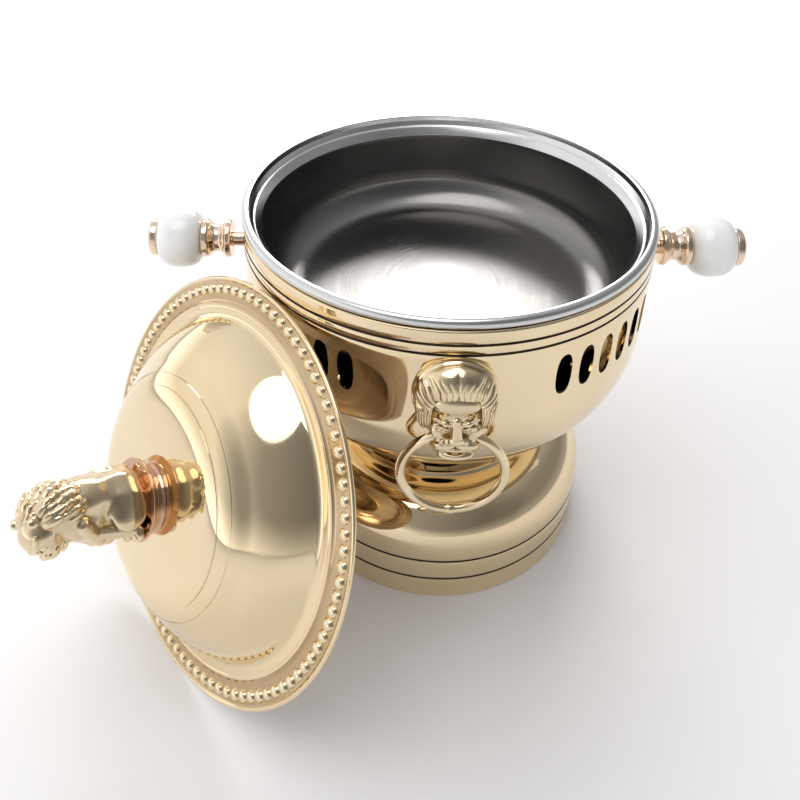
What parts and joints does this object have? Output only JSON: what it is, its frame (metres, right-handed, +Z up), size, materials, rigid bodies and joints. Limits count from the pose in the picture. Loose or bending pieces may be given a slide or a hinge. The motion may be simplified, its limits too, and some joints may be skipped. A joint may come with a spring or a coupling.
{
  "type": "spirit-burner hot pot",
  "caption": "Small table hot pot: slotted brass stove over a spirit burner, steel inner pot, porcelain ball handles, lion masks with pull rings, and a loose beaded lid leaning beside it.",
  "frame": {"origin": "where the stove's upright axis meets the table, at the foot of the drum base", "axes": "+Z up along the stove's axis, +X through the right handle, -Y towards the front lion mask; the lid leans on the stove at the front left"},
  "size_m": [0.3243, 0.2806, 0.1923],
  "materials": {
    "polished_brass": "mirror polished, pale champagne gold",
    "cast_brass": "cast and polished, darker in the recesses",
    "brushed_steel": "satin, brushed round the axis",
    "hardware_steel": "plain bright",
    "porcelain": "white glazed porcelain, opaque",
    "burner_steel": "satin, pressed sheet"
  },
  "bodies": {
    "stove": {"base_drum": "polished_brass", "neck_collar": "polished_brass", "stove_bowl": "polished_brass", "tie_washer": "hardware_steel", "tie_bolt": "hardware_steel", "tie_bridge": "hardware_steel", "tie_nut": "hardware_steel", "right_handle_stud": "polished_brass", "right_handle_spool": "polished_brass", "right_handle_ball": "porcelain", "right_handle_cap": "polished_brass", "right_stud_washer": "hardware_steel", "right_stud_nut": "hardware_steel", "left_handle_stud": "polished_brass", "left_handle_spool": "polished_brass", "left_handle_ball": "porcelain", "left_handle_cap": "polished_brass", "left_stud_washer": "hardware_steel", "left_stud_nut": "hardware_steel", "front_mask_plate": "polished_brass", "front_mask_screw": "hardware_steel", "front_mask_washer": "hardware_steel", "front_lion_mask": "cast_brass", "rear_mask_plate": "polished_brass", "rear_mask_screw": "hardware_steel", "rear_mask_washer": "hardware_steel", "rear_lion_mask": "cast_brass"},
    "pot": {"inner_pot": "brushed_steel"},
    "lid": {"lid_shell": "polished_brass", "finial_pedestal": "polished_brass", "finial_washer": "hardware_steel", "finial_screw": "hardware_steel", "lion_finial": "cast_brass"},
    "front_ring": {"front_pull_ring": "polished_brass"},
    "rear_ring": {"rear_pull_ring": "polished_brass"},
    "burner": {"burner_cup": "burner_steel", "burner_cover": "burner_steel", "damper_rivet": "burner_steel"},
    "damper": {"damper_plate": "burner_steel"}
  },
  "joints": [
    {"name": "pot_lift", "type": "slide", "parent": "stove", "child": "pot", "axis": [0, 0, 1], "range_m": [0, 0.08]},
    {"name": "lid_lift", "type": "slide", "parent": "stove", "child": "lid", "axis": [-0.7093, -0.5889, 0.3875], "range_m": [0, 0.15]},
    {"name": "front_ring_swing", "type": "hinge", "parent": "stove", "child": "front_ring", "pos_m": [0, -0.1078, 0.1417], "axis": [-1, 0, 0], "range_deg": [-22, 100]},
    {"name": "rear_ring_swing", "type": "hinge", "parent": "stove", "child": "rear_ring", "pos_m": [0, 0.1078, 0.1417], "axis": [1, 0, 0], "range_deg": [-22, 100]},
    {"name": "burner_lift", "type": "slide", "parent": "stove", "child": "burner", "axis": [0, 0, 1], "range_m": [0, 0.02]},
    {"name": "damper_swing", "type": "hinge", "parent": "burner", "child": "damper", "pos_m": [-0.0223, 0, 0.1156], "axis": [0, 0, 1], "range_deg": [-110, 110]}
  ]
}
